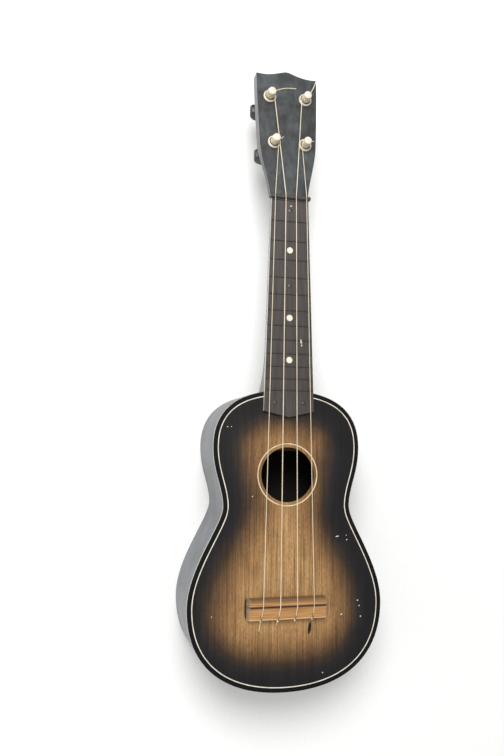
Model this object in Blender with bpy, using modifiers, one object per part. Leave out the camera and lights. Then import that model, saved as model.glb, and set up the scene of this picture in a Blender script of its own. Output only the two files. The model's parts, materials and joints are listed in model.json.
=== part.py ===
"""Soprano ukulele lying on its back.

+X points to the viewer's right when the front is seen with the head up, +Y from the tail to the
head, +Z out of the soundboard. The origin is under the middle of the instrument, on the outside of
the back. Left and right in the names are as seen from the front. Lengths are in metres.
"""

import math

import bmesh
import bpy
from mathutils import Matrix, Vector
from mathutils.geometry import interpolate_bezier

MM = 0.001

# Clearances
GLUE_GAP = 0.3 * MM  # between pieces that are glued or rest on each other
INLAY_GAP = 0.15 * MM  # round an inlaid line or dot
TURN_GAP = 0.15 * MM  # round a turning shaft
STRING_GAP = 0.25 * MM  # between a string and what it lies on

# Main sizes
SCALE_LENGTH = 330 * MM  # zero fret to its octave point
FRET_COUNT = 12
BODY_LENGTH = 246 * MM
BODY_DEPTH = 62 * MM
SOUNDBOARD_THICKNESS = 2.0 * MM
BACK_THICKNESS = 2.2 * MM
RIB_THICKNESS = 2.0 * MM

# Body outline: distance from the tail, half width, and the curve's reach before and after
TAIL_REACH = 51 * MM
LOWER_BOUT = dict(at=69.5 * MM, half_width=83 * MM, before=45.5 * MM, after=30.5 * MM)
WAIST = dict(at=148.5 * MM, half_width=54.5 * MM, before=13 * MM, after=16.5 * MM)
UPPER_BOUT = dict(at=199 * MM, half_width=63.5 * MM, before=22 * MM, after=30 * MM)
NECK_END_REACH = 43 * MM
OUTLINE_STEPS = 9  # segments in each of the four curves of a half

# Soundhole and inlaid lines
HOLE_FROM_JOINT = 70.7 * MM
HOLE_RADIUS = 22.9 * MM
RING_RADIUS = 25.8 * MM
RING_WIDTH = 1.0 * MM
PURFLING_INSET = 3.9 * MM
PURFLING_WIDTH = 0.75 * MM
INLAY_DEPTH = 0.9 * MM

# Inside the body
LINING = dict(width=4.0 * MM, height=6.5 * MM)
NECK_BLOCK = dict(half_width=25 * MM, depth=15 * MM)
TAIL_BLOCK = dict(half_width=21 * MM, depth=12 * MM)
BRACE = dict(width=6 * MM, height=8 * MM, end_height=3 * MM, taper=16 * MM)
TOP_BRACES_FROM_JOINT = dict(upper_top_brace=36 * MM, lower_top_brace=104 * MM)
BACK_BRACES_FROM_JOINT = dict(upper_back_brace=48 * MM, lower_back_brace=150 * MM)
PATCH = dict(width=78 * MM, length=30 * MM, thickness=1.6 * MM)

# Neck
NECK_DEPTH_NUT = 15.5 * MM
NECK_DEPTH_BODY = 18 * MM
HEEL_DEPTH = 54 * MM
HEEL_REACH = 44 * MM
HEEL_FALL = 2.6  # how sharply the heel curves into the shaft
NECK_SIDE_INSET = 0.3 * MM
DOWEL = dict(radius=5 * MM, in_heel=17 * MM, height=44 * MM)

# Headstock, measured along its face from the nut
HEAD_PITCH = math.radians(5)
HEAD_FROM_ZERO_FRET = 5 * MM
HEAD_LENGTH = 119.3 * MM
HEAD_THICKNESS = 10 * MM
HEAD_FOOT_HALF_WIDTH = 17.2 * MM
HEAD_FLARE = dict(at=47 * MM, half_width=25.6 * MM, before=17 * MM, after=24 * MM)
HEAD_CORNER = dict(at=114.9 * MM, half_width=28.1 * MM)
HEAD_TOP_DIP = 1.6 * MM
HEAD_STEPS = 8
HEAD_RELIEF = ((-8, 1.3, 9), (20, 2.6, 7.5), (54, 9.2, 1))  # along, below the face, inwards, in mm

# Fingerboard, one moulded piece with its frets and its string guide
BOARD_THICKNESS = 2.6 * MM
BOARD_NUT_WIDTH = 33 * MM
BOARD_END_WIDTH = 43.8 * MM
BOARD_PAST_JOINT = 17.7 * MM  # how far its corners reach over the soundboard
BOARD_POINT = 5 * MM  # how far the middle of its end stands past the corners
FRET_WIDTH = 1.2 * MM
FRET_HEIGHT = 0.75 * MM
GUIDE = dict(width=36 * MM, length=3.2 * MM, height=2.1 * MM, from_zero_fret=2.7 * MM)
DOT_FRETS = (3, 7, 10)
DOT = dict(radius=2.7 * MM, depth=0.8 * MM)
NAIL = dict(head_radius=1.6 * MM, head=0.8 * MM, shank_radius=0.7 * MM, length=11 * MM)
NAIL_HOLE_GAP = 0.3 * MM
NAIL_HOLE_RADIUS = NAIL["shank_radius"] + NAIL_HOLE_GAP
NAIL_MID_FRETS = (1, 5)
NAIL_END = dict(from_joint=10.7 * MM, apart=24.6 * MM)

# Bridge: the saddle ridge with a lower deck behind it
SADDLE_SETBACK = 11 * MM  # the ridge stands this far behind the octave point
BRIDGE_TOP_WIDTH = 65 * MM
BRIDGE_BASE_WIDTH = 68 * MM
BRIDGE_OFF_CENTRE = -0.8 * MM
RIDGE_HEIGHT = 8.4 * MM
RIDGE_LENGTH = 6 * MM
STEP_LENGTH = 1.0 * MM
DECK_HEIGHT = 6.9 * MM
DECK_REAR_HEIGHT = 6.2 * MM
DECK_LENGTH = 10.2 * MM
SLOT_REACH = 3.6 * MM
SLOT_FLOOR = 2.9 * MM

# Strings, from left to right
STRING_NAMES = ("g", "c", "e", "a")
STRING_DIAMETERS = dict(g=0.60 * MM, c=0.80 * MM, e=0.70 * MM, a=0.56 * MM)
STRING_APART_GUIDE = 9.4 * MM
STRING_APART_BRIDGE = 14.33 * MM
STRINGS_OFF_CENTRE = dict(guide=0.5 * MM, bridge=-0.9 * MM)
SLOTS_OFF_STRING = dict(g=-1.0 * MM, c=-1.0 * MM, e=-0.7 * MM, a=0.0)  # from the saddle's notches
KNOT_SWELL = 2.4
TAIL_LENGTHS = dict(g=8.0 * MM, c=3.4 * MM, e=1.6 * MM, a=1.6 * MM)  # ends behind the knots
TURN_STEPS = 24  # points in one turn round a post

# Tuning pegs: place along the head's face and across it, and the string that each one holds
PEGS = dict(
    lower_left=dict(along=49.1 * MM, across=-12.9 * MM, string="g"),
    upper_left=dict(along=92.9 * MM, across=-16.2 * MM, string="c"),
    upper_right=dict(along=93.5 * MM, across=16.7 * MM, string="e"),
    lower_right=dict(along=49.4 * MM, across=15.5 * MM, string="a"),
)
POST_RADIUS = 3.0 * MM
KNOB_RADIUS = 3.45 * MM
KNOB_HEIGHT = 2.2 * MM
SHAFT_RADIUS = 3.2 * MM
TANG_RADIUS = 2.6 * MM
COLLAR = dict(radius=5.8 * MM, height=2.0 * MM, dish=0.9 * MM, sleeve_radius=4.3 * MM, sleeve=5 * MM)
FIRST_TURN_HEIGHT = 2.9 * MM  # the string's own turn, above the face
HOLE_HEIGHT = 7.5 * MM  # the hole that takes the string's end
WASHER = dict(radius=5 * MM, thickness=1.0 * MM)
BUTTON = dict(boss_radius=4.5 * MM, boss=8 * MM, length=24 * MM, half_width=11.6 * MM, thickness=8 * MM)
TANG_LENGTH = 9 * MM
SCREW = dict(head_radius=2.5 * MM, head=1.6 * MM, shank_radius=1.2 * MM, slot=0.7 * MM)
SCREW_BITE = 5 * MM
WOUND_TURNS = 1.9
TURN_CLEARANCE = 0.55 * MM  # between one turn and the next

# What follows from the sizes above
JOINT_TO_ZERO_FRET = SCALE_LENGTH / 2
OVERALL = BODY_LENGTH + JOINT_TO_ZERO_FRET + HEAD_FROM_ZERO_FRET + HEAD_LENGTH * math.cos(HEAD_PITCH)
TAIL_Y = -OVERALL / 2
JOINT_Y = TAIL_Y + BODY_LENGTH
ZERO_Y = JOINT_Y + JOINT_TO_ZERO_FRET
HEAD_Y = ZERO_Y + HEAD_FROM_ZERO_FRET
SADDLE_Y = ZERO_Y - SCALE_LENGTH - SADDLE_SETBACK
HOLE_Y = JOINT_Y - HOLE_FROM_JOINT
SOUNDBOARD_UNDER = BODY_DEPTH - SOUNDBOARD_THICKNESS
BOARD_UNDER = BODY_DEPTH + GLUE_GAP
BOARD_TOP = BOARD_UNDER + BOARD_THICKNESS
FRET_TOP = BOARD_TOP + FRET_HEIGHT
RIB_INSIDE = RIB_THICKNESS + GLUE_GAP
LINING_INSIDE = RIB_INSIDE + LINING["width"]
HEAD_FRAME = Matrix.Translation((0, HEAD_Y, BODY_DEPTH)) @ Matrix.Rotation(-HEAD_PITCH, 4, "X")

PARTS = bpy.data.collections.new("soprano_ukulele")
CUTTERS = bpy.data.collections.new("cutters")


def clear_scene():
    for obj in list(bpy.data.objects):
        bpy.data.objects.remove(obj, do_unlink=True)
    for collection in (PARTS, CUTTERS):
        bpy.context.scene.collection.children.link(collection)


def material(name, rgb, roughness, metallic=0.0):
    made = bpy.data.materials.get(name)
    if made is None:
        made = bpy.data.materials.new(name)
        made.use_nodes = True
        shader = made.node_tree.nodes["Principled BSDF"]
        shader.inputs["Base Color"].default_value = (*rgb, 1)
        shader.inputs["Roughness"].default_value = roughness
        shader.inputs["Metallic"].default_value = metallic
    return made


def lacquered_top():
    return material("sunburst_lacquer", (0.24, 0.13, 0.05), 0.35)


def black_lacquer():
    return material("black_lacquer", (0.012, 0.013, 0.016), 0.3)


def bare_wood():
    return material("bare_wood", (0.42, 0.28, 0.15), 0.7)


def brown_plastic():
    return material("brown_plastic", (0.045, 0.032, 0.028), 0.4)


def cream_plastic():
    return material("cream_plastic", (0.72, 0.66, 0.5), 0.4)


def black_plastic():
    return material("black_plastic", (0.01, 0.01, 0.012), 0.35)


def nylon():
    return material("nylon", (0.78, 0.7, 0.52), 0.4)


def steel():
    return material("steel", (0.45, 0.42, 0.38), 0.4, 1.0)


def bridge_wood():
    return material("bridge_wood", (0.45, 0.25, 0.09), 0.5)


def place(obj, name, surface, parent=None):
    """Puts an object into the instrument under its own name."""
    for collection in list(obj.users_collection):
        collection.objects.unlink(obj)
    PARTS.objects.link(obj)
    obj.name = name
    obj.data.materials.clear()
    obj.data.materials.append(surface)
    if parent is not None:
        obj.parent = parent
    return obj


def as_cutter(obj):
    for collection in list(obj.users_collection):
        collection.objects.unlink(obj)
    CUTTERS.objects.link(obj)
    obj.hide_render = True
    obj.display_type = "WIRE"
    return obj


def boolean(obj, cutter, operation="DIFFERENCE"):
    as_cutter(cutter)
    step = obj.modifiers.new(operation.lower(), "BOOLEAN")
    step.operation = operation
    step.object = cutter
    return obj


def mesh_object(name, build):
    """A new mesh object filled by build(bm), with its faces turned outwards."""
    bm = bmesh.new()
    build(bm)
    bmesh.ops.recalc_face_normals(bm, faces=bm.faces)
    mesh = bpy.data.meshes.new(name)
    bm.to_mesh(mesh)
    bm.free()
    obj = bpy.data.objects.new(name, mesh)
    bpy.context.scene.collection.objects.link(obj)
    return obj


def curve_to_mesh(curve):
    """The curve's evaluated shape as a closed mesh object."""
    bpy.context.view_layer.update()
    evaluated = curve.evaluated_get(bpy.context.evaluated_depsgraph_get())
    mesh = bpy.data.meshes.new_from_object(evaluated)
    bm = bmesh.new()
    bm.from_mesh(mesh)
    bmesh.ops.remove_doubles(bm, verts=bm.verts, dist=1e-6)
    bmesh.ops.recalc_face_normals(bm, faces=bm.faces)
    bm.to_mesh(mesh)
    bm.free()
    obj = bpy.data.objects.new(curve.name, mesh)
    obj.matrix_world = curve.matrix_world
    bpy.context.scene.collection.objects.link(obj)
    bpy.data.objects.remove(curve, do_unlink=True)
    return obj


def flat_plate(name, loops, low, high):
    """A plate between two heights from closed loops of (x, y) points; inner loops are holes."""
    data = bpy.data.curves.new(name, "CURVE")
    data.dimensions = "2D"
    data.fill_mode = "BOTH"
    data.extrude = (high - low) / 2
    for loop in loops:
        spline = data.splines.new("POLY")
        spline.points.add(len(loop) - 1)
        for point, (x, y) in zip(spline.points, loop):
            point.co = (x, y, 0, 1)
        spline.use_cyclic_u = True
    curve = bpy.data.objects.new(name, data)
    bpy.context.scene.collection.objects.link(curve)
    curve.location.z = (low + high) / 2
    return curve_to_mesh(curve)


def standing_plate(name, profile, half_width):
    """A plate across the instrument from a closed profile of (y, z) points."""
    plate = flat_plate(name, [profile], -half_width, half_width)
    turn = Matrix(((0, 0, 1, 0), (1, 0, 0, 0), (0, 1, 0, 0), (0, 0, 0, 1)))
    plate.data.transform(turn @ plate.matrix_world)
    plate.matrix_world = Matrix.Identity(4)
    return plate


def turned(name, profile, steps):
    """A turned shape from (radius, height) points that run down its outer side."""
    mesh = bpy.data.meshes.new(name)
    mesh.from_pydata([(r, 0, z) for r, z in profile], [(i, i + 1) for i in range(len(profile) - 1)], [])
    obj = bpy.data.objects.new(name, mesh)
    bpy.context.scene.collection.objects.link(obj)
    screw = obj.modifiers.new("turn", "SCREW")
    screw.steps = screw.render_steps = steps
    screw.use_merge_vertices = True
    screw.merge_threshold = 1e-6
    screw.use_smooth_shade = True
    return obj


def ring(name, outer, inner, low, high, steps):
    return turned(
        name, [(inner, high), (outer, high), (outer, low), (inner, low), (inner, high)], steps
    )


def rod(name, radius, start, end, sides=24):
    """A straight cylinder between two points."""
    start, end = Vector(start), Vector(end)
    along = end - start

    def build(bm):
        bmesh.ops.create_cone(
            bm, cap_ends=True, segments=sides, radius1=radius, radius2=radius, depth=along.length
        )

    obj = mesh_object(name, build)
    turn = Vector((0, 0, 1)).rotation_difference(along).to_matrix().to_4x4()
    obj.data.transform(Matrix.Translation((start + end) / 2) @ turn)
    return obj


def box(name, low, high):
    low, high = Vector(low), Vector(high)

    def build(bm):
        bmesh.ops.create_cube(bm, size=1)

    obj = mesh_object(name, build)
    size = high - low
    obj.data.transform(Matrix.Translation((low + high) / 2) @ Matrix.Diagonal((*size, 1)))
    return obj


def tube(name, points, diameter, swells=None):
    """A round cord through the points, one closed tube; swells scale single points."""
    data = bpy.data.curves.new(name, "CURVE")
    data.dimensions = "3D"
    data.bevel_depth = diameter / 2
    data.bevel_resolution = 1
    data.use_fill_caps = True
    spline = data.splines.new("POLY")
    spline.points.add(len(points) - 1)
    for i, (point, co) in enumerate(zip(spline.points, points)):
        point.co = (*co, 1)
        point.radius = (swells or {}).get(i, 1)
    spline.use_smooth = True
    obj = bpy.data.objects.new(name, data)
    bpy.context.scene.collection.objects.link(obj)
    return obj


def loft(name, sections):
    """A closed skin over sections of equally many points, with flat ends."""

    def build(bm):
        rows = [[bm.verts.new(p) for p in section] for section in sections]
        count = len(rows[0])
        for a, b in zip(rows, rows[1:]):
            for i in range(count):
                j = (i + 1) % count
                bm.faces.new((a[i], a[j], b[j], b[i]))
        bm.faces.new(rows[0])
        bm.faces.new(rows[-1])
        bmesh.ops.triangulate(bm, faces=bm.faces)

    return mesh_object(name, build)


def smooth(obj, angle=35):
    """Shades round faces smooth and keeps the sharp edges."""
    if obj.type == "MESH":
        obj.data.shade_smooth()
        obj.data.set_sharp_from_angle(angle=math.radians(angle))
    return obj


def fret_y(number):
    return ZERO_Y - SCALE_LENGTH * (1 - 2 ** (-number / 12))


def body_side(inset=0.0, tail_x=0.0, neck_x=0.0):
    """The right half of the body's outline from tail to neck, moved inwards by the inset and cut
    where it is tail_x and neck_x from the centre line."""
    stations = [
        (0, 0, (TAIL_REACH, 0)),
        (LOWER_BOUT["half_width"], LOWER_BOUT["at"], (0, LOWER_BOUT["after"])),
        (WAIST["half_width"], WAIST["at"], (0, WAIST["after"])),
        (UPPER_BOUT["half_width"], UPPER_BOUT["at"], (0, UPPER_BOUT["after"])),
        (0, BODY_LENGTH, None),
    ]
    arrivals = [(0, bout["before"]) for bout in (LOWER_BOUT, WAIST, UPPER_BOUT)] + [(-NECK_END_REACH, 0)]
    fine = []
    for (x0, y0, leave), (x1, y1, _), arrive in zip(stations, stations[1:], arrivals):
        start, end = Vector((x0, y0 + TAIL_Y)), Vector((x1, y1 + TAIL_Y))
        handles = start + Vector(leave), end - Vector(arrive)
        piece = interpolate_bezier(start, *handles, end, OUTLINE_STEPS + 1)
        fine += piece if not fine else piece[1:]
    points = []
    for i, point in enumerate(fine):
        if i == 0:
            run = Vector((1, 0))
        elif i == len(fine) - 1:
            run = Vector((-1, 0))
        else:
            run = (fine[i + 1] - fine[i - 1]).normalized()
        points.append(Vector(point) - Vector((run.y, -run.x)) * inset)
    return cut_at_x(cut_at_x(points, tail_x)[::-1], neck_x)[::-1]


def cut_at_x(points, limit):
    """Drops the first points whose x is under the limit and starts exactly there."""
    if limit <= 0:
        return points
    first = next(i for i, p in enumerate(points) if p.x > limit)
    a, b = points[first - 1], points[first]
    share = (limit - a.x) / (b.x - a.x)
    return [a.lerp(b, share)] + points[first:]


def up_to_x(points, limit):
    """The first points up to where x reaches the limit."""
    first = next(i for i, p in enumerate(points) if p.x > limit)
    return points[:first] + [cut_at_x(points, limit)[0]]


def mirrored(points):
    return [Vector((-p.x, p.y)) for p in points]


def body_loop(inset=0.0):
    right = body_side(inset)
    return right + mirrored(right)[-2:0:-1]


def side_strip(name, side, outer, inner, low, high, tail_x, neck_x, surface):
    """A bent strip along one side of the body between two insets."""
    outside = body_side(outer, tail_x, neck_x)
    inside = body_side(inner, tail_x, neck_x)
    loop = outside + inside[::-1]
    if side < 0:
        loop = mirrored(loop)
    return place(flat_plate(name, [loop], low, high), name, surface)


def outline_width(y, inset):
    """Half the width of the inset outline at a height along the body."""
    points = body_side(inset)
    for a, b in zip(points, points[1:]):
        if a.y <= y <= b.y:
            return a.lerp(b, (y - a.y) / (b.y - a.y)).x
    raise ValueError("this station lies outside the body")


def circle(radius, y, steps=48):
    return [
        (radius * math.cos(2 * math.pi * i / steps), y + radius * math.sin(2 * math.pi * i / steps))
        for i in range(steps)
    ]


def board_half_width(y):
    """Half the fingerboard's width, which grows evenly from the zero fret to its end."""
    end_y = JOINT_Y - BOARD_PAST_JOINT
    share = (ZERO_Y - y) / (ZERO_Y - end_y)
    return (BOARD_NUT_WIDTH + (BOARD_END_WIDTH - BOARD_NUT_WIDTH) * share) / 2


def nail_places():
    """Where the fingerboard's nails stand."""
    places = [(0, (fret_y(n - 1) + fret_y(n)) / 2) for n in NAIL_MID_FRETS]
    end_y = JOINT_Y - NAIL_END["from_joint"]
    return places + [(-NAIL_END["apart"] / 2, end_y), (NAIL_END["apart"] / 2, end_y)]


def cut_nail_holes(obj, low, high, radius):
    for i, (x, y) in enumerate(nail_places()):
        boolean(obj, rod(f"{obj.name}_nail_hole_{i}", radius, (x, y, low), (x, y, high), 12))


def make_soundboard():
    low = SOUNDBOARD_UNDER
    plate = flat_plate("soundboard", [body_loop(), circle(HOLE_RADIUS, HOLE_Y)], low, BODY_DEPTH)
    floor = BODY_DEPTH - INLAY_DEPTH - INLAY_GAP
    above = BODY_DEPTH + SOUNDBOARD_THICKNESS
    half = PURFLING_WIDTH / 2 + INLAY_GAP
    line = [body_loop(PURFLING_INSET - half), body_loop(PURFLING_INSET + half)]
    boolean(plate, flat_plate("purfling_groove", line, floor, above))
    half = RING_WIDTH / 2 + INLAY_GAP
    hoop = [circle(RING_RADIUS + half, HOLE_Y), circle(RING_RADIUS - half, HOLE_Y)]
    boolean(plate, flat_plate("ring_groove", hoop, floor, above))
    end_nails = nail_places()[len(NAIL_MID_FRETS) :]
    for i, (x, y) in enumerate(end_nails):
        hole = rod(f"soundboard_nail_hole_{i}", NAIL_HOLE_RADIUS, (x, y, low - MM), (x, y, above), 12)
        boolean(plate, hole)
    place(plate, "soundboard", lacquered_top())

    top, bottom = BODY_DEPTH, BODY_DEPTH - INLAY_DEPTH
    half = PURFLING_WIDTH / 2
    line = [body_loop(PURFLING_INSET - half), body_loop(PURFLING_INSET + half)]
    place(flat_plate("purfling_line", line, bottom, top), "purfling_line", cream_plastic())
    half = RING_WIDTH / 2
    hoop = [circle(RING_RADIUS + half, HOLE_Y), circle(RING_RADIUS - half, HOLE_Y)]
    place(flat_plate("soundhole_ring", hoop, bottom, top), "soundhole_ring", cream_plastic())


def dowel_rod(name, gap):
    """The neck's dowel, or with a gap the hole that it sits in."""
    y = body_side(RIB_INSIDE)[-1].y - NECK_BLOCK["depth"]
    end = JOINT_Y + DOWEL["in_heel"]
    high = DOWEL["height"]
    return rod(name, DOWEL["radius"] + gap, (0, y - gap, high), (0, end + gap, high), 24)


def make_sides():
    place(flat_plate("back_plate", [body_loop()], 0, BACK_THICKNESS), "back_plate", black_lacquer())
    low = BACK_THICKNESS + GLUE_GAP
    high = SOUNDBOARD_UNDER - GLUE_GAP
    for side, name in ((-1, "left"), (1, "right")):
        seam = GLUE_GAP / 2
        rib = side_strip(f"rib_{name}", side, 0, RIB_THICKNESS, low, high, seam, seam, black_lacquer())
        boolean(rib, dowel_rod(f"rib_{name}_dowel_hole", GLUE_GAP))
        tail_x = TAIL_BLOCK["half_width"] + GLUE_GAP
        neck_x = NECK_BLOCK["half_width"] + GLUE_GAP
        inner = (RIB_INSIDE, LINING_INSIDE)
        top = (high - LINING["height"], high)
        bottom = (low, low + LINING["height"])
        side_strip(f"top_lining_{name}", side, *inner, *top, tail_x, neck_x, bare_wood())
        side_strip(f"back_lining_{name}", side, *inner, *bottom, tail_x, neck_x, bare_wood())


def make_blocks():
    low = BACK_THICKNESS + GLUE_GAP
    high = SOUNDBOARD_UNDER - GLUE_GAP
    path = body_side(RIB_INSIDE)
    width = NECK_BLOCK["half_width"]
    arc = up_to_x(path[::-1], width)
    rear = path[-1].y - NECK_BLOCK["depth"]
    loop = mirrored(arc)[::-1] + arc[1:] + [Vector((width, rear)), Vector((-width, rear))]
    block = flat_plate("neck_block", [loop], low, high)
    boolean(block, dowel_rod("neck_block_dowel_hole", GLUE_GAP))
    for i, (x, y) in enumerate(nail_places()[len(NAIL_MID_FRETS) :]):
        floor = BOARD_TOP - NAIL["length"] - MM
        hole = rod(f"neck_block_nail_hole_{i}", NAIL_HOLE_RADIUS, (x, y, floor), (x, y, BODY_DEPTH), 12)
        boolean(block, hole)
    place(block, "neck_block", bare_wood())

    width = TAIL_BLOCK["half_width"]
    arc = up_to_x(path, width)
    front = path[0].y + TAIL_BLOCK["depth"]
    loop = mirrored(arc)[::-1] + arc[1:] + [Vector((width, front)), Vector((-width, front))]
    place(flat_plate("tail_block", [loop], low, high), "tail_block", bare_wood())
    place(dowel_rod("neck_dowel", 0), "neck_dowel", bare_wood())


def brace_bar(name, y, base, lean):
    """A bar across the body that thins towards its ends; lean is +1 upwards, -1 downwards."""
    inner = RIB_INSIDE + LINING["width"] + GLUE_GAP
    reach = min(outline_width(y + side * BRACE["width"] / 2, inner) for side in (-1, 1))
    tall, ends, taper = BRACE["height"] * lean, BRACE["end_height"] * lean, BRACE["taper"]
    right = [(reach, 0), (reach, ends), (reach - taper, tall)]
    profile = right + [(-x, z) for x, z in right[::-1]]
    bar = flat_plate(name, [profile], -BRACE["width"] / 2, BRACE["width"] / 2)
    stand = Matrix.Translation((0, y, base)) @ Matrix.Rotation(math.radians(90), 4, "X")
    bar.data.transform(stand @ bar.matrix_world)
    bar.matrix_world = Matrix.Identity(4)
    place(bar, name, bare_wood())


def make_braces():
    for name, distance in TOP_BRACES_FROM_JOINT.items():
        brace_bar(name, JOINT_Y - distance, SOUNDBOARD_UNDER - GLUE_GAP, -1)
    for name, distance in BACK_BRACES_FROM_JOINT.items():
        brace_bar(name, JOINT_Y - distance, BACK_THICKNESS + GLUE_GAP, 1)
    high = SOUNDBOARD_UNDER - GLUE_GAP
    middle = SADDLE_Y - DECK_LENGTH / 2
    half, reach = PATCH["width"] / 2, PATCH["length"] / 2
    low, far = middle - reach, middle + reach
    loop = [(-half, low), (half, low), (half, far), (-half, far)]
    place(flat_plate("bridge_patch", [loop], high - PATCH["thickness"], high), "bridge_patch", bare_wood())


def neck_section(y, half_width, top, depth, fullness, count=15):
    """Points round the neck at one station, from one top edge under it to the other."""
    points = []
    for i in range(count):
        turn = math.pi * i / (count - 1)
        x = math.copysign(abs(math.cos(turn)) ** fullness, math.cos(turn)) * half_width
        points.append((x, y, top - depth * math.sin(turn) ** 0.9))
    return points


def make_neck():
    sections = []
    shaft_length = HEAD_Y - JOINT_Y
    stations = [-4, 0.5, 3, 6, 10, 15, 21, 28, 36, 45, 70, 100, 130, 155]
    for distance in [s * MM for s in stations] + [shaft_length]:
        share = min(max(distance / shaft_length, 0), 1)
        depth = NECK_DEPTH_BODY + (NECK_DEPTH_NUT - NECK_DEPTH_BODY) * share
        heel = max(0, 1 - max(distance, 0) / HEEL_REACH) ** HEEL_FALL
        depth += (HEEL_DEPTH - depth) * heel
        y = JOINT_Y + distance
        width = board_half_width(min(y, ZERO_Y)) - NECK_SIDE_INSET
        sections.append(neck_section(y, width, BODY_DEPTH, depth, 0.75 + 0.2 * heel))
    under_face = 1.0 * MM
    for along, depth in ((7 * MM, NECK_DEPTH_NUT - 2.2 * MM), (15 * MM, HEAD_THICKNESS - 1.6 * MM)):
        top = BODY_DEPTH - math.tan(HEAD_PITCH) * along - under_face
        sections.append(neck_section(HEAD_Y + along, HEAD_FOOT_HALF_WIDTH - MM, top, depth, 0.75))
    neck = loft("neck", sections)
    boolean(neck, make_head(), "UNION")
    for side in (-1, 1):
        boolean(neck, head_relief(side))
    fitted = flat_plate("heel_fit", [body_loop(-GLUE_GAP)], -MM, BODY_DEPTH + MM)
    boolean(neck, fitted)
    boolean(neck, dowel_rod("neck_dowel_hole", GLUE_GAP))
    for i, (x, y) in enumerate(nail_places()[: len(NAIL_MID_FRETS)]):
        floor = BOARD_TOP - NAIL["length"] - MM
        hole = rod(f"neck_nail_hole_{i}", NAIL_HOLE_RADIUS, (x, y, floor), (x, y, BOARD_TOP), 12)
        boolean(neck, hole)
    for name, peg in PEGS.items():
        start = HEAD_FRAME @ Vector((peg["across"], peg["along"], MM))
        end = HEAD_FRAME @ Vector((peg["across"], peg["along"], -HEAD_THICKNESS - MM))
        boolean(neck, rod(f"{name}_peg_hole", COLLAR["sleeve_radius"] + GLUE_GAP, end, start, 24))
    place(smooth(neck), "neck", black_lacquer())


def make_head():
    """The headstock's plate: straight foot, flared sides and a peaked top edge."""
    foot = Vector((HEAD_FOOT_HALF_WIDTH, -0.5 * MM))
    flare = Vector((HEAD_FLARE["half_width"], HEAD_FLARE["at"]))
    corner = Vector((HEAD_CORNER["half_width"], HEAD_CORNER["at"]))
    peak = Vector((0, HEAD_LENGTH))
    lean = Vector((1.4 * MM, HEAD_FLARE["after"]))
    handles = foot + Vector((0.6 * MM, 13 * MM)), flare - Vector((1.2 * MM, HEAD_FLARE["before"]))
    right = interpolate_bezier(foot, *handles, flare, HEAD_STEPS + 1)
    right += interpolate_bezier(flare, flare + lean, corner - Vector((0.3 * MM, 20 * MM)), corner, 4)[1:]
    dip = corner + Vector((-15 * MM, -HEAD_TOP_DIP))
    right += interpolate_bezier(corner, dip, peak + Vector((6 * MM, -0.6 * MM)), peak, HEAD_STEPS + 1)[1:]
    loop = list(right) + mirrored(right)[-2::-1]
    head = flat_plate("head_plate", [loop], -HEAD_THICKNESS, 0)
    head.data.transform(HEAD_FRAME @ head.matrix_world)
    head.matrix_world = Matrix.Identity(4)
    return head


def head_relief(side):
    """A wedge that thins the back edge of the head where it runs into the round neck."""
    sections = []
    for along, below, inwards in HEAD_RELIEF:
        share = max(along * MM, 0) / HEAD_FLARE["at"]
        edge = HEAD_FOOT_HALF_WIDTH + (HEAD_FLARE["half_width"] - HEAD_FOOT_HALF_WIDTH) * share
        deep = -HEAD_THICKNESS - 3 * MM
        corners = [(edge + 2 * MM, -below * MM), (edge + 2 * MM, deep), (edge - inwards * MM, deep)]
        sections.append([(side * x, along * MM, z) for x, z in corners])
    wedge = loft(f"head_relief_{side}", sections)
    wedge.data.transform(HEAD_FRAME)
    return wedge


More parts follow.
